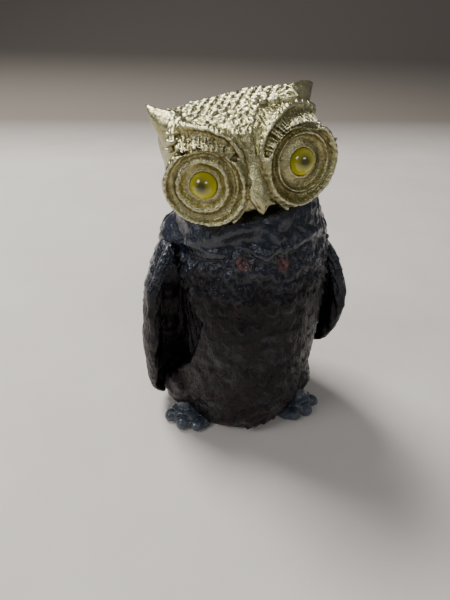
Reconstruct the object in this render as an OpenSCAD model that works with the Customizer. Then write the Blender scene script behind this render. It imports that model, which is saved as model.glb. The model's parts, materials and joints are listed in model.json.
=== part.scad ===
// Owl figurine: hollow dark body, gold head that turns on a slanted neck stud,
// glass eyes, separately cast wings and feet, closed base with a felt disc.
// Millimetres, +Z up, the owl's breast faces -Y, its own left side is +X.

/* [Body] */
// Height of the middle of the slanted neck seat above the floor
neck_height = 110.2; // [106:0.2:113]
// Sideways shift of the neck seat towards the owl's right
neck_shift = 3.1; // [2:0.1:4]
// Half width of the body barrel at the breast
body_half_width = 35.6; // [34:0.2:37]
// How far the breast stands forward of the neck axis
body_front = 37; // [35:0.5:39]
// How far the back stands behind the neck axis
body_back = 30.5; // [29:0.5:32]
// Radius of the round neck
neck_radius = 28; // [27.4:0.2:28.6]
// Wall thickness of the cast shell
wall = 3.4; // [2.8:0.2:4]
// Height of one tier of breast feathers
tier_height = 9; // [7:0.5:12]
// Depth of the feather relief
feather_depth = 0.6; // [0:0.1:0.8]

/* [Neck joint] */
// Slant of the neck axis towards the owl's right shoulder, degrees
neck_slant = 13; // [8:1:14]
// Diameter of the neck stud
stud_d = 5; // [4:0.5:6]
// Running clearance between stud and bush, on the radius
stud_clearance = 0.05; // [0.03:0.01:0.09]
// Thickness of the bush flange that the head bears on
flange_t = 0.8; // [0.6:0.1:1.2]

/* [Head] */
// Distance of each eye from the middle of the face
eye_out = 17; // [16.2:0.2:17.6]
// Height of the eyes above the neck seat
eye_up = 16; // [15.4:0.2:17]
// Radius of a face disc
disc_r = 13.5; // [13:0.1:14]
// Outward splay of each face disc, degrees
disc_splay = 15; // [10:1:18]
// Diameter of the glass eyes
eye_d = 9; // [8:0.5:9.5]
// Reach of the ear tips from the middle of the head
ear_reach = 30; // [29:0.5:31]

/* [Wings] */
// How far the wings stand out from the middle of the body
wing_out = 46.5; // [45:0.1:48]
// Height of the tip of the owl's right wing above the floor
tip_right_wing = 8; // [7:1:14]
// Height of the tip of the owl's left wing above the floor
tip_left_wing = 34; // [28:0.5:36]
// Height of the top of the owl's right wing above the floor
top_right_wing = 92; // [86:1:93]
// Height of the top of the owl's left wing above the floor
top_left_wing = 91; // [88:0.5:94]
// Diameter of the wing pins
pin_d = 3; // [2.5:0.25:3.5]

/* [Feet and base] */
// Distance of each foot from the middle of the body
foot_out = 28; // [27:0.5:29]
// Radius of the closing plate under the body
plate_r = 21; // [20:0.25:21.5]
// Thickness of the felt disc
felt_t = 1.5; // [1:0.1:1.8]

/* [Hidden] */
seg = 50;
neck_c = [-neck_shift, 0, neck_height];
stud_r = stud_d / 2;
bush_r = stud_r + stud_clearance;
spigot_r = stud_r + 2;
roof_t = 5;
eye_r = eye_d / 2;
pin_r = pin_d / 2;
plate_t = 2;
plate_z = felt_t;
screw_at = plate_r - 1.9;
pin_heights = [46, 64];
socket_floor = -2.8;

// ---- curves and skins ----

function pw(v, e) = sign(v) * pow(abs(v), e);

// smooth curve through a list of control rows, s from 0 to 1
function curve(p, s) =
    let (n = len(p) - 1, t = min(max(s, 0), 1) * n, i = min(floor(t), n - 1), u = t - i,
         a = p[max(i - 1, 0)], b = p[i], c = p[i + 1], d = p[min(i + 2, n)])
    0.5 * (2 * b + (c - a) * u + (2 * a - 5 * b + 4 * c - d) * u * u
        + (3 * b - 3 * c + d - a) * u * u * u);

// closed skin over a stack of rings that all have the same number of points
module skin(rings) {
    n = len(rings[0]);
    m = len(rings);
    polyhedron(
        points = [for (r = rings) for (q = r) q],
        faces = concat(
            [[for (j = [0 : n - 1]) j]],
            [for (i = [0 : m - 2]) for (j = [0 : n - 1])
                [i * n + j, (i + 1) * n + j, (i + 1) * n + (j + 1) % n]],
            [for (i = [0 : m - 2]) for (j = [0 : n - 1])
                [i * n + j, (i + 1) * n + (j + 1) % n, i * n + (j + 1) % n]],
            [[for (j = [n - 1 : -1 : 0]) (m - 1) * n + j]]),
        convexity = 6);
}

// one mesh from a tree of solids: the resize keeps the size it already has
module cast_as_one() { resize([0, 0, 0]) union() children(); }

module at_neck() { translate(neck_c) rotate([0, -neck_slant, 0]) children(); }

// ---- body ----

// height, half width, front, back, share of the neck slant, sideways shift
function body_rows() = [
    [felt_t, 26, 31, 22.5, 0, 0],
    [felt_t + 4, body_half_width - 5.8, body_front - 3.6, body_back - 5, 0, 0],
    [17, body_half_width - 3.2, body_front - 2, body_back - 2, 0, 0],
    [34, body_half_width - 1, body_front - 0.6, body_back - 0.5, 0, 0],
    [51, body_half_width, body_front, body_back, 0, 0],
    [67, body_half_width + 0.3, body_front - 0.8, body_back - 0.5, 0, 0],
    [79, body_half_width - 0.2, body_front - 2.6, body_back - 0.8, 0.15, 0],
    [neck_height - 20.2, neck_radius + 4.6, neck_radius + 4.2, neck_radius + 2.2, 0.55, -0.2],
    [neck_height - 10.6, neck_radius + 1.2, neck_radius + 1.2, neck_radius + 1.4, 0.95, -0.7],
    [neck_height, neck_radius, neck_radius - 0.6, neck_radius, 1, -neck_shift]];

function soft(a, b, x) = let (t = min(max((x - a) / (b - a), 0), 1)) t * t * (3 - 2 * t);

// the scoop in each flank between belly and wing: a is 0 at the front, 90 at the owl's left
function scoop_start(z) = z < 41 ? 84 - (z - 14) * 1.33 : z < 58 ? 48 - (z - 41) * 0.6
    : z < 66 ? 38 : 38 + (z - 66) * 2;
function scoop(a, z) = let (b = a > 180 ? 360 - a : a, k = a > 180 ? 0 : 30)
    (k > 0 ? 2.5 : 5) * soft(scoop_start(z) + k, scoop_start(z) + k + 11, b)
        * (1 - soft(86, 97, b)) * soft(12, 30, z) * (1 - soft(82, 93, z));

// feather tiers on the breast: each tier stands proud at its lower, scalloped edge
function relief(a, z) =
    let (f = max(0, cos(a)) * (z > 8 && z < 91 ? 1 : 0),
         k = (z + 3 * abs(sin(a * 5 + 90 * floor(z / tier_height)))) / tier_height)
    f * feather_depth * (1 - (k - floor(k)));

// the smooth bib under the chin, with a dripping lower edge
function bib(a, z) = z > 94 + 2.2 * cos(a * 7) + 1.5 * cos(a * 3) ? 0.6 : 0;

function body_ring(s, grow, n, detail) =
    let (r = curve(body_rows(), s), t = r[4] * neck_slant)
    [for (j = [0 : n - 1])
        let (a = j * 360 / n,
             g = grow - scoop(a, r[0]) + detail * (relief(a, r[0]) + (s < 0.97 ? bib(a, r[0]) : 0)),
             tail = a > 150 && a < 210 && r[0] < 40
                 ? 5 * pow(cos((a - 180) * 3), 2) * (1 - r[0] / 40) : 0,
             x = (r[1] + g) * pw(sin(a), 0.94),
             y = -((cos(a) > 0 ? r[2] : r[3]) + g + tail) * pw(cos(a), 0.94))
        [x * cos(t) + r[5], y, r[0] + x * sin(t)]];

module body_skin(grow, n, m, detail, from = 0, to = 1) {
    skin([for (i = [0 : m]) body_ring(from + (to - from) * i / m, grow, n, detail)]);
}

module body_hollow() {
    intersection() {
        body_skin(-wall, 32, 16, 0);
        at_neck() translate([0, 0, -roof_t - 200]) cylinder(r = 200, h = 200, $fn = 16);
        translate([0, 0, 6.5]) cylinder(r = 100, h = 200, $fn = 16);
    }
}

module pin_bores(r) {
    for (s = [-1, 1], z = pin_heights) translate([s * (body_half_width - wall - 2), 1, z])
        rotate([0, s * 90, 0]) cylinder(r = r, h = 8.2, $fn = 24);
}

module foot_pin_bores(r) {
    for (s = [-1, 1]) translate([s * (foot_out + 1), -17, 1.6]) cylinder(r = r, h = 13, $fn = 24);
}

// the feathered thighs above the feet
module thighs(grow) {
    for (s = [-1, 1]) translate([s * 28, -8, 17])
        scale([(s < 0 ? 10.6 : 9.2) + grow, 13 + grow, 13.5 + grow]) sphere(r = 1, $fn = 32);
}

// the shoulder that slopes from the neck down to the owl's right wing
module shoulder(grow) {
    translate([-23, 4, 87.5]) scale([14 + grow, 16 + grow, 14 + grow]) sphere(r = 1, $fn = 36);
}

module body_casting() {
    color([0.07, 0.06, 0.07])
    difference() {
        cast_as_one() difference() {
            union() {
                body_skin(0, seg, 40, 1);
                thighs(0);
                shoulder(0);
            }
            body_hollow();
            // screw-plate rebate and the opening above it
            translate([0, 0, felt_t - 1]) cylinder(r = plate_r + 0.15, h = 1 + plate_t, $fn = 64);
            translate([0, 0, felt_t]) cylinder(r = plate_r - 4.2, h = 12, $fn = 48);
            for (a = [90, 210, 330]) rotate(a) translate([screw_at, 0, 0])
                cylinder(r = 0.95, h = 7.2, $fn = 16);
            pin_bores(pin_r + 0.04);
            foot_pin_bores(pin_r + 0.04);
            at_neck() translate([0, 0, -roof_t - 1])
                cylinder(r = spigot_r + 0.05, h = roof_t + 2, $fn = 60);
        }
    }
}

// ---- wings ----

// height, front edge x y, bulge x y, back edge x y, thickness
function wing_rows(tip, top) =
    let (m = top - 17, d = m - tip, short = tip > 20, o = wing_out - (short ? 3 : 0),
         q = short ? 1 : 0, w = short ? 3.5 : 0) [
    [top, -o + 13.5, -9, -o + 7.5, 0, -24 - w, 17, 2.2],
    [top - 4.5, -o + 10, -14.5, -o + 1, -2, -21 - w, 26, 4.0],
    [m, -o + 4, -18.5, -o - 4.5, -3, -17 - w, 30.5, 4.4],
    [m - d * 0.33, -o + 2, -19, -o - 8, -2, -15.5 - w, 32, 4.8],
    [m - d * 0.62, -o + 1.7 + q, -16.5, -o - 7 + q, 1, -16 - w, 31.5, 4.2],
    [m - d * 0.86, -o + 2 + q * 2.5, -12, -o - 3.5 + q * 4, 3, -19.5 - w, 28.5, 3.2],
    [tip, -o + 4.5 + q * 5, -7, -o + 2 + q * 5, 3, -28, 18, 2.2]];

function bez(a, b, c, s) = a * (1 - s) * (1 - s) + b * 2 * s * (1 - s) + c * s * s;

function wing_ring(tip, top, s) =
    let (r = curve(wing_rows(tip, top), s), n = 14,
         a = [r[1], r[2]], b = [r[3], r[4]], c = [r[5], r[6]], th = r[7])
    concat(
        [for (i = [0 : n]) let (u = i / n, q = bez(a, b, c, u),
             rib = 0.5 * pow(sin(u * 360 * 2.5), 2) * (u > 0.12 ? 1 : 0))
            [q[0] + rib * (1 - u), q[1], r[0]]],
        [for (i = [n : -1 : 0])
            let (u = i / n, q = bez(a, b, c, u), d = bez(a, b, c, u + 0.01) - q,
                 k = th + (u > 0.3 ? min(13, (u - 0.3) * 42) : 0),
                 v = [-d[1], d[0]] / norm(d))
            [q[0] - v[0] * k * 0.999 + 0.4, q[1] - v[1] * k, r[0]]]);

module wing_blade(tip, top) {
    skin([for (i = [0 : 22]) wing_ring(tip, top, i / 22)]);
}

module wing(side, tip, top) {
    cast_as_one() difference() {
        if (side < 0) wing_blade(tip, top);
        else mirror([1, 0, 0]) wing_blade(tip, top);
        body_skin(0.12, seg, 40, 1);
        thighs(0.12);
        shoulder(0.12);
        pin_bores(pin_r + 0.04);
    }
}

module wing_right() { color([0.08, 0.07, 0.08]) wing(-1, tip_right_wing, top_right_wing); }
module wing_left() { color([0.08, 0.07, 0.08]) wing(1, tip_left_wing, top_left_wing); }
module wing_pins() { color([0.6, 0.6, 0.6]) pin_bores(pin_r); }

// ---- feet ----

// a toe: knuckled and rounded at the claw; the sole is cut flat later
module toe(len, r, turn) {
    skin([for (i = [0 : 12])
        let (s = i / 12, q = r * sqrt(max(0.03, 1 - pow(s, 5))) * (1 - 0.22 * s) * (1 + 0.07 * cos(s * 1080)),
             x = len * s, up = r * (0.9 - 0.42 * s * s))
        [for (j = [0 : 11]) let (b = j * 30)
            [sin(turn) * x + cos(turn) * q * cos(b), -cos(turn) * x + sin(turn) * q * cos(b),
                up + q * sin(b)]]]);
}

module foot(s) {
    cast_as_one() difference() {
        translate([s * foot_out, -14, 0]) {
            toe(16.5, 3.7, -s * 16);
            toe(13.2, 3.9, s * 14);
            translate([s * 1, 0, 0]) toe(10.2, 3.5, s * 60);
            translate([s * 0.5, -2.5, 2.4]) scale([7.8, 7.8, 6.1]) sphere(r = 1, $fn = 30);
        }
        translate([-60, -60, -20]) cube([120, 120, 20]);
        body_skin(0.15, seg, 40, 1);
        thighs(0.15);
        foot_pin_bores(pin_r + 0.04);
    }
}

module foot_right() { color([0.13, 0.16, 0.22]) foot(-1); }
module foot_left() { color([0.13, 0.16, 0.22]) foot(1); }
module foot_pins() { color([0.6, 0.6, 0.6]) foot_pin_bores(pin_r); }

// ---- base ----

module base_plate() {
    color([0.35, 0.33, 0.3])
    difference() {
        translate([0, 0, plate_z]) cylinder(r = plate_r, h = plate_t, $fn = 64);
        for (a = [90, 210, 330]) rotate(a) translate([screw_at, 0, plate_z]) {
            translate([0, 0, -0.01]) cylinder(r1 = 1.71, r2 = 0.95, h = 0.87, $fn = 24);
            cylinder(r = 0.95, h = plate_t + 1, $fn = 24);
        }
    }
}

module base_screws() {
    color([0.7, 0.7, 0.68])
    for (a = [90, 210, 330]) rotate(a) translate([screw_at, 0, plate_z])
        difference() {
            rotate_extrude($fn = 24) polygon([[0, 0.02], [1.66, 0.02], [0.9, 0.84], [0.9, 5.2],
                [0, 5.6]]);
            translate([-2, -0.22, -0.1]) cube([4, 0.44, 0.45]);
        }
}

module base_felt() {
    color([0.1, 0.25, 0.16]) cylinder(r = plate_r, h = felt_t, $fn = 64);
}

// ---- neck joint ----

module neck_bush() {
    color([0.85, 0.83, 0.75])
    at_neck() rotate_extrude($fn = 64)
        polygon([[bush_r, -roof_t], [spigot_r, -roof_t], [spigot_r, 0], [spigot_r + 5, 0],
            [spigot_r + 5, flange_t], [bush_r, flange_t]]);
}

module neck_stud() {
    color([0.7, 0.7, 0.7])
    at_neck() translate([0, 0, -roof_t - 8.4]) {
        cylinder(r = stud_r, h = roof_t + 8.4 + flange_t + 16, $fn = 48);
    }
}

module plain_washer() {
    color([0.75, 0.75, 0.75])
    at_neck() translate([0, 0, -roof_t - 1.02]) difference() {
        cylinder(r = stud_r + 4.5, h = 1, $fn = 48);
        translate([0, 0, -1]) cylinder(r = stud_r + 0.02, h = 4, $fn = 48);
    }
}

module spring_washer() {
    color([0.5, 0.5, 0.52])
    at_neck() translate([0, 0, -roof_t - 2.22]) difference() {
        cylinder(r = stud_r + 2, h = 1.2, $fn = 48);
        translate([0, 0, -1]) cylinder(r = stud_r + 0.02, h = 4, $fn = 48);
        rotate(40) translate([stud_r - 1, -0.35, -1]) cube([5, 0.7, 4]);
    }
}

module lock_nut() {
    color([0.78, 0.76, 0.66])
    at_neck() translate([0, 0, -roof_t - 6.22]) difference() {
        cylinder(r = stud_r * 1.85, h = 4, $fn = 6);
        translate([0, 0, -1]) cylinder(r = stud_r, h = 6, $fn = 48);
    }
}

// ---- head, in its own frame: x across, y back, z along the neck axis ----

function skull_rows() = [
    [flange_t, 27.8, 26.2, 28.4],
    [2.6, 28.6, 27, 29.4],
    [8.5, 28.3, 28, 29.5],
    [18.5, 28.4, 29, 27.5],
    [25.5, 28, 29.4, 22],
    [30, 26.4, 28, 16],
    [33.3, 23.4, 21.6, 11],
    [34.3, 16, 12, 6]];

function skull_ring(s, grow, n) =
    let (r = curve(skull_rows(), s))
    [for (j = [0 : n - 1]) let (a = j * 360 / n, e = 0.9)
        [(r[1] + grow) * pw(sin(a), e), -((cos(a) > 0 ? r[2] : r[3]) + grow) * pw(cos(a), e),
            r[0] + (cos(a) > 0 ? -0.06 : 0.03) * (r[0] > 18.5 ? (r[0] - 18.5) * cos(a) * 2 : 0)]];

module skull(grow, n, m) { skin([for (i = [0 : m]) skull_ring(i / m, grow, n)]); }

module at_disc(s) {
    translate([s * eye_out, -28.6, eye_up]) rotate([0, 0, s * disc_splay]) rotate([90, 0, 0])
        rotate([-4, 0, 0]) children();
}

// face disc: rolled rim, groove, inner ring, dished field and the ring round the socket
module face_disc() {
    k = disc_r / 14.3;
    rotate_extrude($fn = 32)
        polygon([[0, -12], [14.2 * k, -12], [14.2 * k, -5], [13.9 * k, -2.2], [14.3 * k, 0.4],
            [13.9 * k, 1.7], [13.0 * k, 2.2], [12.1 * k, 1.9], [11.4 * k, 1.0], [10.9 * k, 0.3],
            [10.3 * k, 0.8], [9.6 * k, 1.5], [8.8 * k, 1.4], [8.1 * k, 0.4], [7.2 * k, -0.3],
            [6.6, 0.3], [6.0, 0.8], [eye_r + 0.2, 0.5], [0, 0.5]]);
}

// tapered bar along a smooth path; rows are x y z radius
module bar(rows, n, m, flat = 1) {
    skin([for (i = [0 : m])
        let (s = i / m, q = curve(rows, s), d = curve(rows, min(s + 0.01, 1)) - curve(rows,
                 max(s - 0.01, 0)),
             t = [d[0], d[1], d[2]] / norm([d[0], d[1], d[2]]),
             u0 = cross(t, [0, 1, 0.3]), u = u0 / norm(u0), v = cross(t, u))
        [for (j = [0 : n - 1]) let (b = j * 360 / n)
            [q[0], q[1], q[2]] + q[3] * (flat * cos(b) * u + sin(b) * v)]]);
}

module beak() {
    bar([[0, -27, 25.5, 3.2], [0, -31, 20.5, 3.3], [0, -33.6, 15, 3.1], [0, -35.8, 9.5, 2.4],
        [0, -36.4, 5, 0.7]], 12, 12);
    for (s = [-1, 1]) bar([[s * 3.2, -29.5, 21.5, 1.6], [s * 3.6, -31.5, 15.5, 1.7],
        [s * 2.8, -33, 10.5, 1.4], [s * 1.2, -34, 7, 0.6]], 8, 8);
}

module brow(s) {
    bar([[s * 0.5, -29.5, 18.5, 2.0], [s * 4.5, -31, 23, 3.4], [s * 10.5, -30, 27.9, 4],
        [s * 17, -27.4, 30.1, 4.1], [s * 22, -22, 30.5, 4], [s * 25.2, -13, 30.1, 3.6]],
        12, 14);
}

module ear(s) {
    bar([[s * 17.5, -7, 24.9, 6.4], [s * 21.5, -7, 28.5, 5.6], [s * 25.2, -4.8, 31.5 - s * 0.5, 4],
        [s * 27.8 + 0.4, -2, 33.2 - s * 1.6, 2.2], [s * ear_reach + 1.2, 0.4, 35 - s * 2.8, 0.4]],
        12, 10);
}

// rows of raised feathers across the crown, set in chevrons
module crown_feathers() {
    for (row = [0 : 3], i = [-2.5 : 1 : 2.5])
        translate([i * 6.2, -21 + row * 6.2 - abs(i) * 1.5 + (row % 2) * 1.4,
                32.5 + row * 0.1 - abs(i) * (row > 2 ? 1.1 : 0.7)])
            rotate([-14, 0, i * 7]) scale([1, 1.35, 0.5]) sphere(r = 2.7, $fn = 8);
}

module head_casting() {
    color([0.72, 0.63, 0.38])
    at_neck() difference() {
        cast_as_one() difference() {
            union() {
                skull(0, 40, 19);
                for (s = [-1, 1]) {
                    at_disc(s) face_disc();
                    brow(s);
                    ear(s);
                }
                beak();
                crown_feathers();
            }
            // hollow, with the boss for the stud left standing in the middle
            difference() {
                intersection() {
                    skull(-wall, 24, 12);
                    translate([-22.6, -19, -1]) cube([45.2, 60, 40]);
                }
                cylinder(r = stud_r + 4, h = 60, $fn = 32);
            }
            translate([0, 0, -1]) difference() {
                cylinder(r = 23.4, h = 5, $fn = 48);
                cylinder(r = stud_r + 4, h = 60, $fn = 32);
            }
            for (s = [-1, 1]) at_disc(s) translate([0, 0, socket_floor])
                cylinder(r = eye_r + 0.05, h = 12, $fn = 40);
            translate([0, 0, -1]) cylinder(r = stud_r, h = flange_t + 17, $fn = 48);
        }
    }
}

// ---- eyes ----

module eye_glass() {
    translate([0, 0, socket_floor + 0.5]) rotate_extrude($fn = 48)
        polygon(concat([[0, 0], [eye_r, 0]],
            [for (i = [0 : 11]) let (b = i * 7.5)
                [eye_r * cos(b), 1.6 + eye_r * sin(b)]],
            [[0, 1.6 + eye_r]]));
}

module eye_back() {
    translate([0, 0, socket_floor + 0.02]) cylinder(r = eye_r, h = 0.46, $fn = 48);
}

module eye_glass_right() { color([0.8, 0.8, 0.1, 0.8]) at_neck() at_disc(-1) eye_glass(); }
module eye_glass_left() { color([0.8, 0.8, 0.1, 0.8]) at_neck() at_disc(1) eye_glass(); }
module eye_back_right() { color([0.3, 0.3, 0.05]) at_neck() at_disc(-1) eye_back(); }
module eye_back_left() { color([0.3, 0.3, 0.05]) at_neck() at_disc(1) eye_back(); }

body_casting();
wing_right();
wing_left();
wing_pins();
foot_right();
foot_left();
foot_pins();
base_plate();
base_screws();
base_felt();
neck_bush();
neck_stud();
plain_washer();
spring_washer();
lock_nut();
head_casting();
eye_glass_right();
eye_glass_left();
eye_back_right();
eye_back_left();
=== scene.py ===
"""Owl figurine: the visual model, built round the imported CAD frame.

The castings are sculpted as distance fields in millimetres, meshed with surface nets, and
then chased: feathers, rings and tool marks are cut into the mesh along its normals.
"""

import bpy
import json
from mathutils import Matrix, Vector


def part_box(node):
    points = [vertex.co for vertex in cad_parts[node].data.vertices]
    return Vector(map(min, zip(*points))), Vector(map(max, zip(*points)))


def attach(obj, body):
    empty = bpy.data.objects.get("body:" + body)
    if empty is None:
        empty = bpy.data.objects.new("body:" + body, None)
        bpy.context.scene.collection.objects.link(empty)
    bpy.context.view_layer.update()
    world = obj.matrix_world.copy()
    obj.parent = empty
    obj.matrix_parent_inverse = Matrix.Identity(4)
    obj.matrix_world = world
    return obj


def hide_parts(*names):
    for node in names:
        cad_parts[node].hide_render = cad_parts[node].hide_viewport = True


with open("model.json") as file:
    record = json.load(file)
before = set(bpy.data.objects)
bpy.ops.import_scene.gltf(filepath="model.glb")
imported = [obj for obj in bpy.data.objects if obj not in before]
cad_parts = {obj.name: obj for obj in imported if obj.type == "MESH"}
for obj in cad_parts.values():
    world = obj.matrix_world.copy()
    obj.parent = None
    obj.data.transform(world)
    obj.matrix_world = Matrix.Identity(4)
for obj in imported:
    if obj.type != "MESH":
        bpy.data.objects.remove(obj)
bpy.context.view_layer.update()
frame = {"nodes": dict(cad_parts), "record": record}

import json
import math

import bpy
import numpy as np
from mathutils import Matrix, Vector

MM = 0.001
COARSE = 1.0

# ---- frame
# The neck joint gives the place and slant of the head.
joint = frame["record"]["behaviour"]["joints"][0]
NECK = np.array(joint["pos_m"]) / MM
SLANT = math.atan2(-joint["axis"][0], joint["axis"][2])
HEAD_AXES = np.array([[math.cos(SLANT), 0, math.sin(SLANT)], [0, 1, 0],
                      [-math.sin(SLANT), 0, math.cos(SLANT)]])     # rows: across, back, up


def box_mm(node):
    lo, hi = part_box(node)
    return np.array(lo) / MM, np.array(hi) / MM


def from_head(p):
    return np.asarray(p) @ HEAD_AXES + NECK


# ---- numbers and curves
def noise(p, scale, seed=0.0):
    """Smooth value noise from -1 to 1 at points p (n x 3), one cell per scale mm."""
    q = np.asarray(p, np.float64) / scale + seed * 17.13 + 500.0
    i = np.floor(q).astype(np.int64)
    f = q - i
    f = f * f * (3 - 2 * f)

    def corner(dx, dy, dz):
        """A value from -1 to 1 for a grid corner: three primes and a shift scramble its place."""
        n = (i[:, 0] + dx) * 73856093 ^ (i[:, 1] + dy) * 19349663 ^ (i[:, 2] + dz) * 83492791
        n = (n ^ (n >> 13)) * 1274126177 & 0x7FFFFFFF
        return n / 1073741823.5 - 1.0

    def along_x(dy, dz):
        return corner(0, dy, dz) * (1 - f[:, 0]) + corner(1, dy, dz) * f[:, 0]

    y0 = along_x(0, 0) * (1 - f[:, 1]) + along_x(1, 0) * f[:, 1]
    y1 = along_x(0, 1) * (1 - f[:, 1]) + along_x(1, 1) * f[:, 1]
    return y0 * (1 - f[:, 2]) + y1 * f[:, 2]


def fbm(p, scale, seed=0.0):
    return (noise(p, scale, seed) + 0.5 * noise(p, scale / 2, seed + 1)
            + 0.25 * noise(p, scale / 4, seed + 2)) / 1.75


def wave(x, pitch):
    return np.sin(x * 2 * np.pi / pitch)


def smoothstep(a, b, x):
    t = np.clip((x - a) / (b - a), 0, 1)
    return t * t * (3 - 2 * t)


def curve(rows, s):
    """Catmull-Rom through the rows, s from 0 to 1."""
    rows = np.asarray(rows, float)
    n = len(rows) - 1
    t = np.clip(np.asarray(s, float), 0, 1) * n
    i = np.minimum(t.astype(int), n - 1)
    u = (t - i)[..., None]
    a, b = rows[np.maximum(i - 1, 0)], rows[i]
    c, d = rows[i + 1], rows[np.minimum(i + 2, n)]
    return 0.5 * (2 * b + (c - a) * u + (2 * a - 5 * b + 4 * c - d) * u ** 2
                  + (3 * b - 3 * c + d - a) * u ** 3)


def steps(n):
    return np.linspace(0, 1, n)


def smin(a, b, k):
    h = np.maximum(k - np.abs(a - b), 0)
    return np.minimum(a, b) - h * h / (4 * k)


def smax(a, b, k):
    return -smin(-a, -b, k)


# ---- fields
class Field:
    """A distance field on a grid, in mm, negative inside."""

    def __init__(self, lo, hi, step):
        self.h = step * COARSE
        self.lo = np.array(lo, float) - 2 * self.h
        self.n = np.ceil((np.array(hi, float) + 2 * self.h - self.lo) / self.h).astype(int) + 1
        self.f = np.full(self.n, 9.0, np.float32)

    def part(self, lo, hi):
        """The grid cells in a box, as slices, and the x, y and z of their points."""
        a = np.clip(np.floor((np.array(lo, float) - self.lo) / self.h).astype(int), 0, self.n - 1)
        b = np.clip(np.ceil((np.array(hi, float) - self.lo) / self.h).astype(int) + 1, 1, self.n)
        axes = [(self.lo[i] + self.h * np.arange(a[i], b[i])).astype(np.float32)
                for i in range(3)]
        x, y, z = np.meshgrid(*axes, indexing="ij", sparse=True)
        return tuple(slice(a[i], b[i]) for i in range(3)), x, y, z

    def whole(self):
        return self.part(self.lo, self.lo + self.h * self.n)

    def merge(self, where, d, k, cut=False):
        old = self.f[where]
        self.f[where] = smax(old, -d, k) if cut else smin(old, d, k)

    def add(self, lo, hi, shape, k=0.6, cut=False):
        """Joins (or cuts) a shape, given as a function of x, y, z, inside the box lo, hi."""
        where, x, y, z = self.part(lo, hi)
        self.merge(where, shape(x, y, z), k, cut)

    def fill(self, shape):
        """Joins a shape over the whole grid."""
        self.add(self.lo, self.lo + self.h * self.n, shape, 0.3)

    def blob(self, c, r, k=0.6, cut=False, turn=0.0, tip=0.0):
        """An ellipsoid, turned about the vertical and tipped about x."""
        c, r = np.array(c, float), np.array(r, float)
        ca, sa, cb, sb = math.cos(turn), math.sin(turn), math.cos(tip), math.sin(tip)
        far = r.max() + 2 * k + 1

        def shape(x, y, z):
            u, v, w = x - c[0], y - c[1], z - c[2]
            u, v = ca * u + sa * v, -sa * u + ca * v
            v, w = cb * v + sb * w, -sb * v + cb * w
            q = np.sqrt((u / r[0]) ** 2 + (v / r[1]) ** 2 + (w / r[2]) ** 2)
            g = np.sqrt((u / r[0] ** 2) ** 2 + (v / r[1] ** 2) ** 2 + (w / r[2] ** 2) ** 2)
            return q * (q - 1) / np.maximum(g, 1e-4)
        self.add(c - far, c + far, shape, k, cut)

    def tube(self, rows, n, k, cut=False):
        """A tapered round bar along a curve through rows of x, y, z, radius."""
        p = curve(rows, steps(n + 1))
        far = p[:, 3].max() + k + 1.5
        where, x, y, z = self.part(p[:, :3].min(0) - far, p[:, :3].max(0) + far)
        d = None
        for a, b in zip(p[:-1], p[1:]):
            e = b - a
            l2 = float(e[:3] @ e[:3]) + 1e-9
            t = np.clip(((x - a[0]) * e[0] + (y - a[1]) * e[1] + (z - a[2]) * e[2]) / l2, 0, 1)
            r = np.sqrt((x - a[0] - t * e[0]) ** 2 + (y - a[1] - t * e[1]) ** 2
                        + (z - a[2] - t * e[2]) ** 2) - (a[3] + t * e[3])
            d = r if d is None else smin(d, r, 0.15)
        self.merge(where, d, k, cut)

    def mesh(self):
        """Surface nets: one point per crossed cell, one quad per crossed edge."""
        f = self.f
        s = f < 0
        m = np.array(f.shape) - 1
        count = np.zeros(m, np.int8)
        corners = [(i, j, k) for i in (0, 1) for j in (0, 1) for k in (0, 1)]
        for i, j, k in corners:
            count += s[i:i + m[0], j:j + m[1], k:k + m[2]]
        cell = np.argwhere((count > 0) & (count < 8))
        index = np.full(m, -1, np.int64)
        index[tuple(cell.T)] = np.arange(len(cell))
        value = {c: f[cell[:, 0] + c[0], cell[:, 1] + c[1], cell[:, 2] + c[2]] for c in corners}
        total, hits = np.zeros((len(cell), 3)), np.zeros(len(cell))
        for a in corners:
            for axis in range(3):
                if a[axis]:
                    continue
                b = tuple(1 if q == axis else a[q] for q in range(3))
                va, vb = value[a], value[b]
                cross = (va < 0) != (vb < 0)
                t = np.where(cross, va / np.where(cross, va - vb, 1), 0)
                p = np.array(a, float)[None] + np.zeros((len(cell), 3))
                p[:, axis] += t
                total[cross] += p[cross]
                hits += cross
        points = self.lo + self.h * (cell + total / hits[:, None])
        quads = []
        for axis in range(3):
            u, v = [(1, 2), (2, 0), (0, 1)][axis]
            first = [slice(None)] * 3
            second = [slice(None)] * 3
            first[axis], second[axis] = slice(0, -1), slice(1, None)
            e = np.argwhere(s[tuple(first)] != s[tuple(second)])
            e = e[(e[:, u] > 0) & (e[:, v] > 0) & (e[:, u] < m[u]) & (e[:, v] < m[v])]
            du, dv = np.zeros(3, int), np.zeros(3, int)
            du[u], dv[v] = 1, 1
            q = np.stack([index[tuple((e - du - dv).T)], index[tuple((e - dv).T)],
                          index[tuple(e.T)], index[tuple((e - du).T)]], 1)
            inside = s[tuple(e.T)]
            q[~inside] = q[~inside][:, ::-1]
            quads.append(q)
        return points, np.concatenate(quads)


# ---- meshes
def normals(p, q):
    d1, d2 = p[q[:, 2]] - p[q[:, 0]], p[q[:, 3]] - p[q[:, 1]]
    fn = np.cross(d1, d2)
    n = np.zeros_like(p)
    for k in range(4):
        np.add.at(n, q[:, k], fn)
    return n / np.maximum(np.linalg.norm(n, axis=1), 1e-9)[:, None]


def neighbour_mean(p, q):
    """Mean of each point's edge neighbours."""
    after = np.roll(q, -1, 1)
    a = np.concatenate([*q.T, *after.T])
    b = np.concatenate([*after.T, *q.T])
    out = np.stack([np.bincount(a, p[b, c], len(p)) for c in range(3)], 1)
    return out / np.maximum(np.bincount(a, minlength=len(p)), 1)[:, None]


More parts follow.
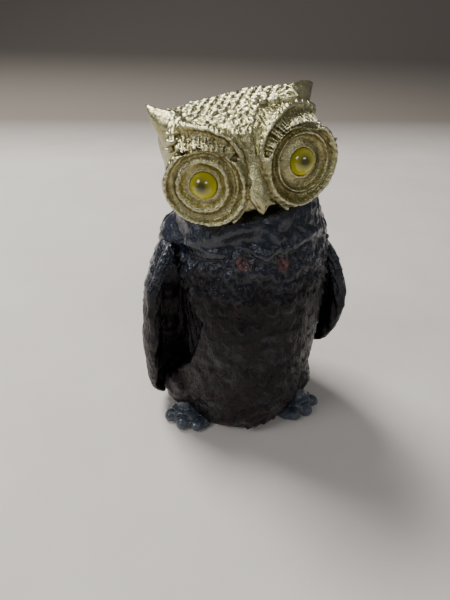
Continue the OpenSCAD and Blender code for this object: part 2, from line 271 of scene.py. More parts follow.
def hollows(p, q, rounds):
    """How sunken (positive) or raised (negative) each point is against its surroundings, mm."""
    n = normals(p, q)
    s = p
    for _ in range(rounds):
        s = neighbour_mean(s, q)
    return ((s - p) * n).sum(1)


def put_in_scene(name, data):
    o = bpy.data.objects.new(name, data)
    bpy.context.scene.collection.objects.link(o)
    return o


def finish_piece(name, me, body, node, material, marks):
    """Makes a mesh a piece of the object, with its per-point marks kept as attributes."""
    for key, value in marks.items():
        me.attributes.new(key, "FLOAT", "POINT").data.foreach_set(
            "value", np.asarray(value, np.float32))
    me.materials.append(material)
    o = put_in_scene(name, me)
    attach(o, body)
    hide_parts(node)


def make_piece(name, p, q, body, node, material, marks):
    """A piece from points in mm and quads."""
    me = bpy.data.meshes.new(name)
    me.vertices.add(len(p))
    me.vertices.foreach_set("co", (np.asarray(p) * MM).astype(np.float32).ravel())
    me.loops.add(q.size)
    me.loops.foreach_set("vertex_index", q.ravel().astype(np.int32))
    me.polygons.add(len(q))
    me.polygons.foreach_set("loop_start", np.arange(0, q.size, q.shape[1], dtype=np.int32))
    me.polygons.foreach_set("use_smooth", np.full(len(q), True))
    me.update(calc_edges=True)
    me.validate()
    finish_piece(name, me, body, node, material, marks)


# ---- material helpers
class Mat:
    """A short way to write node materials."""

    def __init__(self, name):
        self.m = bpy.data.materials.new(name)
        self.m.use_nodes = True
        self.t = self.m.node_tree
        self.b = self.t.nodes["Principled BSDF"]

    def node(self, kind, **props):
        n = self.t.nodes.new(kind)
        for k, v in props.items():
            setattr(n, k, v)
        return n

    def link(self, a, b):
        self.t.links.new(a, b)

    def put(self, socket, value):
        if isinstance(value, bpy.types.NodeSocket):
            self.link(value, socket)
        elif socket.type == "RGBA":
            socket.default_value = (*value, 1.0)
        else:
            socket.default_value = value

    def coord(self, scale=(1, 1, 1)):
        c = self.node("ShaderNodeTexCoord")
        m = self.node("ShaderNodeMapping")
        m.inputs["Scale"].default_value = scale
        self.link(c.outputs["Object"], m.inputs["Vector"])
        return m.outputs["Vector"]

    def noise(self, size_mm, detail=4.0, rough=0.55, stretch=(1, 1, 1)):
        n = self.node("ShaderNodeTexNoise")
        k = 1 / (size_mm * MM)
        self.link(self.coord([k * s for s in stretch]), n.inputs["Vector"])
        n.inputs["Scale"].default_value = 1.0
        n.inputs["Detail"].default_value = detail
        n.inputs["Roughness"].default_value = rough
        return n.outputs["Fac"]

    def mark(self, name):
        return self.node("ShaderNodeAttribute", attribute_name=name).outputs["Fac"]

    def span(self, value, a, b, lo=0.0, hi=1.0):
        n = self.node("ShaderNodeMapRange")
        self.link(value, n.inputs["Value"])
        for k, v in zip(("From Min", "From Max", "To Min", "To Max"), (a, b, lo, hi)):
            n.inputs[k].default_value = v
        return n.outputs["Result"]

    def math(self, op, a, b=0.5, clamp=False):
        n = self.node("ShaderNodeMath", operation=op, use_clamp=clamp)
        self.put(n.inputs[0], a)
        self.put(n.inputs[1], b)
        return n.outputs[0]

    def mix(self, fac, a, b):
        n = self.node("ShaderNodeMix", data_type="RGBA")
        for i, value in ((0, fac), (6, a), (7, b)):
            self.put(n.inputs[i], value)
        return n.outputs[2]

    def layer(self, base, colour, mask, share):
        return self.mix(self.math("MULTIPLY", mask, share), base, colour)

    def bump(self, height, depth_mm, after=None):
        n = self.node("ShaderNodeBump")
        n.inputs["Strength"].default_value = 1.0
        n.inputs["Distance"].default_value = depth_mm * MM
        self.link(height, n.inputs["Height"])
        if after is not None:
            self.link(after, n.inputs["Normal"])
        return n.outputs["Normal"]

    def shade(self, **values):
        for name, value in values.items():
            self.put(self.b.inputs[name.replace("_", " ")], value)
        return self.m


def gold_paint():
    m = Mat("gold_paint")
    sunk, broad_shade = m.mark("sunk"), m.mark("broad_shade")
    shade_and_patina = m.span(sunk, 0.03, 0.36)
    wear_and_highlight = m.span(sunk, -0.02, -0.24)
    blotch = m.span(m.noise(6.0, 5.0), 0.35, 0.7)
    speck = m.span(m.noise(0.7, 3.0, 0.7), 0.50, 0.72)
    base = m.mix(blotch, (0.37, 0.335, 0.165), (0.50, 0.465, 0.255))
    # painted shade: the broad hollows, such as the hoods under the brows, turn dark brown
    base = m.layer(base, (0.20, 0.165, 0.065), m.span(broad_shade, 0.10, 1.0), 0.75)
    # dark patina and painted shade: the gold turns dark brown in the small hollows
    base = m.mix(shade_and_patina, base, (0.15, 0.115, 0.040))
    # rubbed metal and painted highlight: the raised points turn pale gold
    base = m.layer(base, (0.80, 0.79, 0.57), wear_and_highlight, 0.6)
    base = m.layer(base, (0.18, 0.145, 0.055), speck, 0.30)
    rough = m.math("ADD", m.span(m.noise(1.8), 0.3, 0.7, 0.15, 0.30),
                   m.math("MULTIPLY", shade_and_patina, 0.15))
    n = m.bump(m.noise(0.5, 4.0, 0.6), 0.10)
    n = m.bump(m.noise(1.8, 5.0, 0.65), 0.40, n)
    return m.shade(Base_Color=base, Metallic=0.95, Roughness=rough, Normal=n)


def dark_paint():
    m = Mat("dark_paint")
    sunk, copper = m.mark("sunk"), m.mark("copper")
    shade_and_patina = m.span(sunk, 0.0, 0.28)
    wear_and_highlight = m.span(sunk, -0.03, -0.22)
    patch = m.span(m.noise(9.0, 5.0, 0.6), 0.40, 0.66)
    streak = m.span(m.noise(1.3, 4.0, 0.6, (1, 1, 0.22)), 0.47, 0.66)
    earth = m.mix(patch, (0.0030, 0.0028, 0.0032), (0.0075, 0.0058, 0.0046))
    earth = m.layer(earth, (0.014, 0.012, 0.012), streak, 0.5)
    red = m.mix(m.span(m.noise(3.0), 0.4, 0.66), (0.0085, 0.0050, 0.0048),
                (0.024, 0.011, 0.009))
    blue = m.mix(m.span(m.noise(4.0), 0.4, 0.65), (0.0045, 0.0052, 0.0088),
                 (0.0140, 0.0185, 0.0330))
    base = m.layer(earth, red, copper, m.span(m.noise(4.5), 0.36, 0.6))
    bloom = m.math("MAXIMUM", m.mark("glaze"), m.mark("bib"))
    base = m.mix(bloom, base, blue)
    # rubbed paint and painted highlight: the raised points turn a lighter grey
    base = m.layer(base, (0.040, 0.040, 0.046), wear_and_highlight, m.span(m.noise(2.6), 0.46, 0.68, 0.0, 0.7))
    base = m.layer(base, (0.16, 0.055, 0.042), m.mark("worn"),
                   m.span(m.noise(1.6), 0.35, 0.6, 0.3, 1.0))
    # dark patina and painted shade: the hollows between the feathers are darkened
    base = m.layer(base, (0.0022, 0.0016, 0.0020), shade_and_patina, 0.8)
    gloss = m.span(m.noise(2.2), 0.3, 0.7, 0.0, 0.16)
    rough = m.math("SUBTRACT", m.math("ADD", gloss, 0.24), m.math("MULTIPLY", bloom, 0.09))
    tint = m.mix(bloom, (0.90, 0.84, 0.92), (0.66, 0.78, 1.0))
    n = m.bump(m.noise(0.6, 2.0, 0.5, (1, 1, 0.12)), 0.30)
    n = m.bump(m.noise(2.4, 3.0, 0.5), 0.42, n)
    return m.shade(Base_Color=base, Metallic=0.0, Roughness=rough, Normal=n,
                   Specular_IOR_Level=0.21, Specular_Tint=tint,
                   Coat_Weight=m.span(bloom, 0, 1, 0.0, 0.75), Coat_Roughness=0.16, Coat_Normal=n)


def slate_paint():
    m = Mat("slate_paint")
    shade_and_patina = m.span(m.mark("sunk"), 0.0, 0.22)
    wear_and_highlight = m.span(m.mark("sunk"), -0.02, -0.2)
    base = m.mix(m.span(m.noise(2.5), 0.4, 0.65), (0.026, 0.034, 0.048),
                 (0.052, 0.066, 0.088))
    # rubbed paint and painted highlight: the raised points turn a lighter slate
    base = m.layer(base, (0.11, 0.135, 0.165), wear_and_highlight, 0.5)
    # dark patina and painted shade: the hollows between the toes are darkened
    base = m.mix(shade_and_patina, base, (0.010, 0.012, 0.018))
    n = m.bump(m.noise(0.8, 4.0, 0.6), 0.12)
    return m.shade(Base_Color=base, Roughness=m.span(m.noise(1.5), 0.3, 0.7, 0.22, 0.40),
                   Normal=n, Coat_Weight=0.4, Coat_Roughness=0.15)


def eye_glass():
    m = Mat("eye_glass")
    out = m.mark("out")        # 0 in the middle of the eye, 1 at its rim
    low = m.mark("low")        # 0 at the top, 1 at the bottom
    pupil = m.span(out, 0.98, 0.22)
    pupil = m.math("POWER", pupil, 1.25, True)
    # painted light: the yellow is lighter towards the bottom of the eye, standing in for light from
    # above that comes out through the dome
    base = m.mix(m.span(low, 0.15, 0.9), (0.52, 0.47, 0.001), (0.70, 0.66, 0.001))
    base = m.mix(m.span(m.noise(0.8, 3.0), 0.4, 0.7, 0.0, 0.5), base, (0.56, 0.47, 0.0))
    base = m.layer(base, (0.045, 0.042, 0.001), pupil, 0.97)
    return m.shade(Base_Color=base, Roughness=0.06, Coat_Weight=1.0, Coat_Roughness=0.02,
                   IOR=1.5, Subsurface_Weight=0.15, Subsurface_Radius=(0.002, 0.0018, 0.0002),
                   Subsurface_Scale=0.6)


def plain(name, colour, dark, rough, metallic, size=1.5, depth=0.05):
    """Turned or stamped metal and card: fine grain, stains and uneven gloss."""
    m = Mat(name)
    base = m.mix(m.span(m.noise(size * 3, 5.0), 0.35, 0.7), colour, dark)
    r = m.span(m.noise(size), 0.3, 0.7, rough - 0.06, rough + 0.08)
    return m.shade(Base_Color=base, Metallic=metallic, Roughness=r,
                   Normal=m.bump(m.noise(size * 0.4), depth))


def felt():
    m = Mat("felt")
    base = m.mix(m.span(m.noise(0.7, 6.0, 0.7), 0.3, 0.7), (0.015, 0.055, 0.030),
                 (0.030, 0.110, 0.060))
    return m.shade(Base_Color=base, Roughness=0.95, Sheen_Weight=0.5,
                   Normal=m.bump(m.noise(0.35, 6.0, 0.8), 0.25))


GOLD, DARK, SLATE, GLASS = gold_paint(), dark_paint(), slate_paint(), eye_glass()
STEEL = plain("steel", (0.55, 0.55, 0.56), (0.38, 0.37, 0.36), 0.34, 1.0)
BRASS = plain("brass", (0.72, 0.56, 0.26), (0.50, 0.37, 0.15), 0.32, 1.0)
CARD = plain("eye_backing", (0.20, 0.19, 0.01), (0.10, 0.09, 0.01), 0.7, 0.0)
FELT = felt()

# ---- body
b_lo, b_hi = box_mm("body_casting")
f_lo, f_hi = box_mm("base_felt")
FELT_R, RIM_Z = (f_hi[0] - f_lo[0]) / 2, b_lo[2]
HALF, FRONT, BACK, NECK_R = 35.6, 37.0, 30.5, 28.0

# height, half width, front, back, share of the neck slant, sideways shift
BODY_ROWS = np.array([
    [RIM_Z, 26.0, 31.0, 22.5, 0, 0], [RIM_Z + 4, HALF - 5.8, FRONT - 3.6, BACK - 5, 0, 0],
    [17, HALF - 3.2, FRONT - 2, BACK - 2, 0, 0], [34, HALF - 1, FRONT - 0.6, BACK - 0.5, 0, 0],
    [51, HALF, FRONT, BACK, 0, 0], [67, HALF + 0.3, FRONT - 0.8, BACK - 0.5, 0, 0],
    [79, HALF - 0.2, FRONT - 2.6, BACK - 0.8, 0.15, 0],
    [NECK[2] - 20.2, NECK_R + 4.6, NECK_R + 4.2, NECK_R + 2.2, 0.55, -0.2],
    [NECK[2] - 10.6, NECK_R + 1.2, NECK_R + 1.2, NECK_R + 1.4, 0.95, -0.7],
    [NECK[2], NECK_R, NECK_R - 0.6, NECK_R, 1, NECK[0]]])
FINE_ROWS = curve(BODY_ROWS, steps(400))

# The flank is scooped out between the belly and the wing. Height, then the angle from the
# front, in degrees, at which the scoop begins.
SCOOP = np.array([[14, 84], [24, 70], [33, 58], [41, 48], [50, 42], [58, 38], [64.5, 37],
                  [68, 41], [71, 48], [75, 54], [80, 63], [85, 74], [90, 84]], float)
SHOULDER = (-84.0, 90.0)      # angle and height that the scoop's long feathers fan out from


def scoop(a, z):
    """Depth of the flank scoop at angle a (radians, negative on the owl's right), height z."""
    deg = np.degrees(a)
    start = np.interp(z, SCOOP[:, 0], SCOOP[:, 1])
    right = smoothstep(start, start + 9, -deg) * smoothstep(97, 86, -deg) * 6.5
    left = smoothstep(start + 30, start + 42, deg) * smoothstep(97, 86, deg) * 2.5
    return (right + left) * smoothstep(12, 30, z) * smoothstep(93, 82, z)


def body_rho(x, y, z, grow=0.0):
    ring = z + 0 * x
    for _ in range(3):
        share = np.interp(ring, FINE_ROWS[:, 0], FINE_ROWS[:, 4])
        ring = z - x * np.sin(SLANT * share)
    half, front, back, share, shift = [np.interp(ring, FINE_ROWS[:, 0], FINE_ROWS[:, i])
                                       for i in range(1, 6)]
    px = np.abs((x - shift) / np.cos(SLANT * share)) / (half + grow)
    tail = 5 * np.clip(1 - ring / 40, 0, 1) * np.clip(
        1 - (x / np.maximum(0.5 * half, 1)) ** 2, 0, 1) ** 2 * (y > 0)
    py = np.abs(y) / (np.where(y < 0, front, back) + grow + tail)
    return (px ** 2.13 + py ** 2.13) ** (1 / 2.13), half


def body_shape(grow=0.0, scooped=False):
    def shape(x, y, z):
        rho, half = body_rho(x, y, z, grow)
        side = (rho - 1) * (half - 2)
        if scooped:
            side = side + scoop(np.arctan2(x, -y), z + 0 * x) * (side > -9)
        # the neck's top edge is rounded over on the slanted seat
        top = (z - NECK[2]) * math.cos(SLANT) - (x - NECK[0]) * math.sin(SLANT) - grow
        return smax(smax(side, top, 4.0), RIM_Z - z, 1.5)
    return shape


# lower edge of the bib: angle from the front in degrees, height
HEM = np.array([[-100, 86], [-75, 90], [-60, 90.5], [-47, 91.5], [-36, 91.5], [-27, 94], [-20, 98],
                [-13, 98], [-7, 94.5], [1, 92.5], [5, 94.5], [10, 96], [14, 94.5], [22, 96.5],
                [31, 98.5], [42, 98], [58, 96], [80, 92], [100, 90]], float)


# folds of the bib: height, width, path of (angle from the front in degrees, height)
FOLDS = [(1.9, 3.6, [(-58, 97), (-44, 99.5), (-28, 103.8), (-10, 107.5)]),
         (1.2, 4.0, [(7, 108), (4, 102), (2, 97), (0, 94)]),
         (0.9, 3.0, [(-62, 93.5), (-46, 95), (-36, 95)]),
         (0.8, 1.1, [(5, 103.5), (9, 101), (13, 102), (15, 98.5), (18, 97.5)]),
         (0.8, 1.0, [(27, 105), (31, 103), (34, 101.5), (38, 102)]),
         (0.7, 2.2, [(20, 100), (30, 99.6), (42, 100)]),
         (-1.7, 2.6, [(-24, 98.5), (-17, 101), (-12, 100)]),
         (-1.0, 3.0, [(-50, 104), (-35, 108)])]
ARC_R = 34.0                  # radius on which the body is unrolled


def ridge_on(flat, rows, width):
    """Gaussian ridge along a path of (angle in degrees, height) on the unrolled body."""
    pts = curve(np.asarray(rows, float) * [math.radians(ARC_R), 1], steps(40))
    d2 = np.full(len(flat), 1e9)
    for x, z in pts:
        d2 = np.minimum(d2, (flat[:, 0] - x) ** 2 + (flat[:, 2] - z) ** 2)
    return np.exp(-d2 / width ** 2)


def tufts(flat, top, bottom, pitch, width, height, seed):
    """Ragged overlapping tiers of tufts: proud at each scalloped tip, sunk just below it."""
    arc, z = flat[:, 0], flat[:, 2]
    warp = 2.4 * fbm(flat, 15.0, seed) + 1.1 * noise(flat, 6.0, seed + 4)
    count = int((top - bottom) / pitch)
    out = np.zeros(len(flat))
    for k in reversed(range(count + 1)):
        zt = top - k * pitch
        col = (arc + 2.0 * noise(flat, 9.0, seed + 7)) / width + 0.5 * (k % 2) + 0.31 * k
        frac = col - np.floor(col)
        tip = 1 - (2 * np.abs(frac - 0.5)) ** 1.6
        cell = np.floor(col)
        own = np.sin(cell * 12.9898 + k * 78.233) * 43758.5453
        own = own - np.floor(own)
        edge = zt - 3.4 * tip - 1.6 * own + warp
        d = z - edge
        crown = height * (0.55 + 0.6 * own) * (0.35 + 0.65 * tip)
        proud = crown * np.exp(-np.maximum(d, 0) / (0.62 * pitch)) \
            * smoothstep(-0.1, 0.9, d)
        out = np.where(d > 0, proud, out)
    return out


def chase_body(p, q):
    n = normals(p, q)
    a = np.arctan2(p[:, 0], -p[:, 1])
    z = p[:, 2]
    arc = a * ARC_R
    flat = np.stack([arc, 0 * arc, z], 1)
    deg = np.degrees(a)
    # bib: smooth drape with soft folds over a hem that hangs in lobes
    hem = np.interp(deg, HEM[:, 0], HEM[:, 1]) + 0.9 * noise(flat, 4.0, 3.0)
    bib = smoothstep(-0.55, 0.45, z - hem) * smoothstep(104, 92, np.abs(deg))
    roll = np.exp(-((z - hem - 2.4) / 2.0) ** 2)
    folds = sum(height * ridge_on(flat, path, width) for height, width, path in FOLDS)
    drape = 1.25 + 0.7 * roll + 1.25 * folds + 0.45 * fbm(flat, 6.0, 5.0) + 0.16 * noise(flat, 2.2, 6.0)
    rough_side = smoothstep(16, 40, deg) * 0.45
    drape = drape + rough_side * (noise(flat, 1.7, 8.0) + noise(flat, 3.1, 9.0))
    # tufts: bold on the breast, soft on the belly, lumpy again low down
    bold = tufts(flat, 95.0, 60.0, 5.2, 5.0, 2.1, 2.0)
    soft = tufts(flat, 82.0, 44.0, 7.0, 6.0, 1.0, 12.0)
    low = tufts(flat, 48.0, 4.0, 5.6, 4.4, 1.0, 22.0)
    wb, wl = smoothstep(72, 80, z), smoothstep(50, 42, z)
    feathers = bold * wb + low * wl + soft * (1 - wb) * (1 - wl)
    feathers = feathers + wb * 1.2 * fbm(flat, 4.2, 14.0) + wl * 0.5 * noise(flat, 3.4, 16.0)
    warp = 1.5 * fbm(flat, 9.0, 9.0) + 0.5 * noise(flat, 3.0, 10.0)
    hatch = wave(arc * (1 + 0.0025 * (z - 50)) + warp, 1.9)
    hatch = hatch * (0.45 + 0.55 * noise(flat, 4.5, 11.0)) * (0.75 + 0.25 * noise(
        flat * [1, 1, 0.5], 2.0, 12.0))
    lump = 0.9 * fbm(flat, 12.0, 13.0) + 0.40 * noise(flat, 3.6, 15.0)
    # long feathers fanning out from the shoulder in the scoop
    s0 = math.radians(SHOULDER[0]) * ARC_R
    fan = np.arctan2(arc - s0, SHOULDER[1] + 2 - z)
    depth = scoop(a, z)
    inside = np.clip(depth / 4.0, 0, 1)
    quills = np.sin(fan * 46 + 0.9 * noise(flat, 7.0, 17.0))
    quills = 0.75 * np.abs(quills) ** 0.6 * np.sign(quills) * (0.8 + 0.4 * noise(flat, 5.0, 19.0))
    plumage = feathers + 0.10 * hatch + lump
    out = (plumage * (1 - inside) + (quills + 0.4 * lump) * inside) * (1 - bib) + drape * bib
    free = smoothstep(RIM_Z + 0.2, RIM_Z + 3.0, z)
    top = (p - NECK) @ HEAD_AXES[2]
    free = free * smoothstep(-0.2, -2.6, top)
    return p + n * (out * free)[:, None], bib


body = Field(b_lo - 1.5, b_hi + 1.5, 0.5)
body.fill(body_shape(-0.7, True))
# the thighs above the feet and the shoulder that slopes down to the right wing
THIGHS = {-1: ((-28.0, -8.0, 17.0), np.array([9.8, 12.4, 12.6])),
          1: ((27.2, -8.0, 16.6), np.array([7.8, 12.0, 12.2]))}
SHOULDER_LUMP = ((-23.0, 4.0, 87.5), np.array([13.2, 15.2, 13.2]))
for side in (-1, 1):
    body.blob(*THIGHS[side], 2.5)
body.blob(*SHOULDER_LUMP, 3.0)
# room for the felt and the closing plate
body.add([-FELT_R - 3, -FELT_R - 3, RIM_Z - 3], [FELT_R + 3, FELT_R + 3, RIM_Z + 5],
         lambda x, y, z: np.maximum(np.sqrt(x * x + y * y) - FELT_R - 0.2, z - RIM_Z - 2.15),
         0.1, True)
bp, bq = body.mesh()
bp, bib = chase_body(bp, bq)


def spots(p, places, r):
    out = np.zeros(len(p))
    for c in places:
        d = np.linalg.norm(p - np.array(c), axis=1)
        out = np.maximum(out, smoothstep(r, 0.3 * r, d))
    return out


glaze = smoothstep(76, 93, bp[:, 2] + 9 * fbm(bp, 12.0, 25.0))
glaze = np.maximum(glaze, 0.4 * smoothstep(0.1, 0.45, fbm(bp, 7.0, 27.0)))
worn = spots(bp, [(-8.5, -31, 92.5), (7, -31, 92.5)], 4.0)
copper = spots(bp, [(10.8, -35.5, 59.6), (1.6, -37, 44.6), (-12, -35, 74), (9, -36, 71)], 5.5)
copper = np.maximum(copper, smoothstep(48, 18, bp[:, 2] + 10 * fbm(bp, 10.0, 21.0)))
make_piece("body_barrel", bp, bq, "stand", "body_casting", DARK,
           {"sunk": hollows(bp, bq, 6), "bib": bib, "worn": worn, "glaze": glaze, "copper": copper})

# ---- wings
WING_OUT = 46.5
PIN_R = 1.5


def wing_rows(tip, top, short):
    """Height, front edge x y, bulge x y, back edge x y, thickness; the owl's right wing."""
    m = top - 17
    d, o, w = m - tip, WING_OUT - 3 * short, 3.5 * short
    return np.array([
        [top, -o + 13.5, -9, -o + 7.5, 0, -24 - w, 17, 2.0],
        [top - 4.5, -o + 10, -14.5, -o + 1, -2, -21 - w, 26, 3.8],
        [m, -o + 4, -18.5, -o - 4.5, -3, -17 - w, 30.5, 4.4],
        [m - d * 0.33, -o + 2, -19, -o - 8, -2, -15.5 - w, 32, 4.8],
        [m - d * 0.62, -o + 1.7 + short, -16.5, -o - 7 + short, 1, -16 - w, 31.5, 4.2],
        [m - d * 0.86, -o + 2 + 2.5 * short, -12, -o - 3.5 + 4 * short, 3, -19.5 - w, 28.5, 3.2],
        [tip, -o + 6.5 + 4 * short, -7, -o + 2.5 + 4 * short, 3, -28, 18, 3.0]], float)


def bend(r, i, u):
    """Column i of the wing's front, bulge and back edge, blended at u from front to back."""
    return r[:, i] * (1 - u) ** 2 + r[:, i + 2] * 2 * u * (1 - u) + r[:, i + 4] * u * u


def bend_slope(r, i, u):
    return 2 * (1 - u) * (r[:, i + 2] - r[:, i]) + 2 * u * (r[:, i + 4] - r[:, i + 2])


def make_wing(name, side, node, short, seed):
    lo, hi = box_mm(node)
    tip, top = lo[2], hi[2]
    rows = curve(wing_rows(tip, top, short), steps(60))[::-1]   # heights rising
    field = Field(lo - 1.2, hi + 1.2, 0.5)
    where, x, y, z = field.whole()
    xx = x * (-side)           # worked out on the owl's right wing, at -x
    zz = z[0, 0, :]
    r = np.stack([np.interp(zz, rows[:, 0], rows[:, i]) for i in range(1, 8)], 1)
    d = None
    for u in steps(29):
        # a thick leading band, a thinner web behind it, then the root that fills to the body
        web = 0.50 - 0.16 * math.exp(-((u - 0.2) / 0.10) ** 2)
        start = 0.50 - 0.26 * smoothstep(tip + 18, tip + 5, zz) * (1 - short)
        th = r[:, 6] * web + np.clip((u - start) * 30, 0, 7.5)
        tx, ty = bend_slope(r, 0, u), bend_slope(r, 1, u)
        ln = np.sqrt(tx ** 2 + ty ** 2)
        cx, cy = bend(r, 0, u) + ty / ln * th, bend(r, 1, u) - tx / ln * th
        dist = np.sqrt((xx - cx[None, None, :]) ** 2 + (y - cy[None, None, :]) ** 2) \
            - th[None, None, :]
        d = dist if d is None else smin(d, dist, 0.9)
    d = smax(d, np.maximum(z - top, tip - z), 4.0)
    field.f[where] = d
    pin_lo, pin_hi = box_mm("wing_pins")
    for pin_z in (pin_lo[2] + PIN_R, pin_hi[2] - PIN_R):     # bosses that the wing pins enter
        field.blob([side * 34.8, pin_lo[1] + 1.8, pin_z], [5.2, 4.4, 5.0], 1.4)
    field.merge(where, body_shape(-0.3, True)(x, y, z), 0.4, cut=True)      # bedded on the body
    for c, r in (*THIGHS.values(), SHOULDER_LUMP):
        field.blob(c, r + 0.3, 0.4, cut=True)
    # the crest that runs from the shoulder point down the leading edge
    crest = [[-side * np.interp(top - dz, rows[:, 0], rows[:, 1]),
              np.interp(top - dz, rows[:, 0], rows[:, 2]) - 0.2, top - dz, r]
             for dz, r in ((1.5, 1.2), (5, 1.5), (11, 1.3), (18, 1.0), (28, 0.6))]
    field.tube(crest, 14, 1.2)
    p, q = field.mesh()
    n = normals(p, q)
    wx = -side * p[:, 0]                    # negative outward, as on the owl's right
    run = np.stack([np.arctan2(p[:, 1] - 4, -wx - 14) * 30, 0 * wx, p[:, 2]], 1)
    outer = smoothstep(-0.1, 0.35, side * n[:, 0])
    front = smoothstep(-9.0, -13.5, p[:, 1]) * (side * n[:, 0] > -0.35)
    # shoulder covers in small scales, then long primaries down the outer face
    scales = tufts(run, top - 2, top - 34, 4.6, 4.6, 0.95, seed)
    lanes = np.sin(run[:, 0] * 2 * np.pi / 5.2 + 0.035 * (top - p[:, 2]) ** 1.2
                   + 0.8 * noise(run, 14.0, seed + 1))
    long_ = 0.9 * np.sign(lanes) * np.abs(lanes) ** 0.5
    low = smoothstep(top - 27, top - 36, p[:, 2])
    barbs = wave(run[:, 0] * 0.8 + p[:, 2] * 0.45 + 0.9 * fbm(run, 7.0, seed + 3), 1.9)
    face = scales * (1 - low) + 0.65 * long_ * low + 0.05 * barbs
    band = 0.35 * fbm(run, 6.0, seed + 5) \
        + 0.13 * wave(p[:, 1] + 0.5 * noise(run, 8.0, 2.0), 1.7) \
        + 0.9 * scales * smoothstep(top - 24, top - 12, p[:, 2])
    # inside, feathers fan down from the shoulder point
    fan = np.arctan2(p[:, 1] + 10.0, top + 4 - p[:, 2])
    inner = 0.65 * np.sin(fan * 52 + 0.8 * noise(run, 7.0, seed + 6))
    out_d = outer * face * (1 - front) + band * front + (1 - outer) * (1 - front) * inner \
        + 0.5 * fbm(p, 9.0, seed + 7)
    edge = 0.45 * noise(p * [0.3, 0.3, 1], 4.2, seed + 9) * outer
    touching = body_shape(0.3)(p[:, 0], p[:, 1], p[:, 2])
    p = p + n * ((out_d + edge) * smoothstep(0.0, 1.5, touching))[:, None]
    glaze_ = smoothstep(top - 26, top - 6, p[:, 2] + 6 * noise(p, 8.0, seed))
    make_piece(name, p, q, "stand", node, DARK,
               {"sunk": hollows(p, q, 6), "bib": 0.6 * glaze_, "worn": 0 * wx,
                "glaze": glaze_, "copper": 0.25 * (1 - glaze_)})


make_wing("wing_of_right_side", -1, "wing_right", 0, 31.0)
make_wing("wing_of_left_side", 1, "wing_left", 1, 47.0)

# ---- feet
FOOT_OUT = 28.0


def make_foot(name, side, node, seed):
    lo, hi = box_mm(node)
    field = Field([lo[0] - 5, lo[1] - 1, -0.4], [hi[0] + 5, hi[1] + 3, hi[2] + 1.5], 0.30)
    base = np.array([side * FOOT_OUT, -14.0, 0])
    field.blob(base + [side * 0.5, -3.0, 2.2], [7.6, 7.8, 5.6], 1.2)
    field.blob(base + [-side * 7.0, -8.6, 1.7], [4.4, 5.2, 3.4], 1.8)
    field.blob([side * (FOOT_OUT + 1), -16.6, 5.5], [3.4, 3.4, 6.5], 1.5)     # ankle round the pin
    for length, r, turn, shift in ((16.3, 3.5, -side * 16, 0), (13.6, 3.5, side * 17, 0),
                                   (11.0, 3.2, side * 60, side)):
        t = math.radians(turn)
        ahead = np.array([math.sin(t), -math.cos(t), 0])
        across = np.array([ahead[1], -ahead[0], 0])
        start = base + [shift, 0, 0]
        # a thick toe that ends in a blunt ball, with one ring groove behind it
        for s, k, join in ((0.28, 1.0, 2.4), (0.54, 0.98, 2.0), (0.79, 0.92, 1.8)):
            c = start + ahead * length * s
            field.blob([c[0], c[1], r * (0.86 - 0.22 * s)], [r * k, r * k, r * k * 0.9], join)
        c = start + ahead * length * 0.66
        rows = [[*(c + across * r * math.cos(b) + np.array([0, 0, r * (0.68 + math.sin(b))])),
                 0.30] for b in np.linspace(-0.3, math.pi + 0.3, 8)]
        field.tube(rows, 12, 0.6, cut=True)
    where, x, y, z = field.whole()
    field.merge(where, z, 0.25, cut=True)
    field.merge(where, body_shape(-0.4)(x, y, z), 0.3, cut=True)
    c, r = THIGHS[side]
    field.blob(c, r + 0.1, 0.3, cut=True)
    p, q = field.mesh()
    n = normals(p, q)
    free = smoothstep(0.2, 1.2, p[:, 2])
    d = 0.26 * fbm(p, 2.6, seed) + 0.14 * noise(p, 1.2, seed + 2)
    p = p + n * (d * free)[:, None]
    make_piece(name, p, q, "stand", node, SLATE, {"sunk": hollows(p, q, 6)})


make_foot("foot_of_right_side", -1, "foot_right", 61.0)
make_foot("foot_of_left_side", 1, "foot_left", 67.0)

# ---- head (in its own frame)
EYE_OUT, EYE_UP, EYE_FRONT, DISC_R, SPLAY, LEAN = 17.0, 16.0, -28.6, 13.5, 15.0, -4.0
FLOOR = 0.9                 # the head's lower face above the neck seat
CROWN_Z = 33.9
EYE_R = 4.5

SKULL_ROWS = np.array([
    [FLOOR, 27.6, 25.4, 28.4], [2.6, 28.4, 26.2, 29.3], [8.5, 28.0, 26.6, 29.5],
    [17, 27.8, 28.0, 27.8], [24.5, 27.8, 28.7, 22.5], [29.5, 26.4, 27.4, 16.5],
    [32.5, 23.4, 22.0, 12], [CROWN_Z, 16, 13, 7]])
FINE_SKULL = curve(SKULL_ROWS, steps(300))


def disc_axes(side):
    """Across, up and outward directions of a face disc, and its centre, in the head frame."""
    z = math.radians(side * SPLAY)
    turn = np.array([[math.cos(z), -math.sin(z), 0], [math.sin(z), math.cos(z), 0], [0, 0, 1]])
    t = math.radians(LEAN)
    local = np.array([[1, 0, 0], [0, math.cos(t), -math.sin(t)], [0, math.sin(t), math.cos(t)]])
    stand = np.array([[1, 0, 0], [0, 0, -1], [0, 1, 0]])    # x stays, y goes up, z goes to -y
    m = turn @ stand @ local
    return m[:, 0], m[:, 1], m[:, 2], np.array([side * EYE_OUT, EYE_FRONT, EYE_UP])


def to_disc(side, x, y, z):
    """Distance from a disc's middle, angle round it and height above it."""
    ax, up, out, c = disc_axes(side)
    u, v, w = x - c[0], y - c[1], z - c[2]
    a, b, h = [u * e[0] + v * e[1] + w * e[2] for e in (ax, up, out)]
    return np.sqrt(a * a + b * b), np.arctan2(b, a), h


def beak_side(phi, side):
    """1 on the half of a disc that faces the beak, 0 on its outer half."""
    return smoothstep(-0.25, 0.75, -side * np.cos(phi) - 0.15 * np.sin(phi))


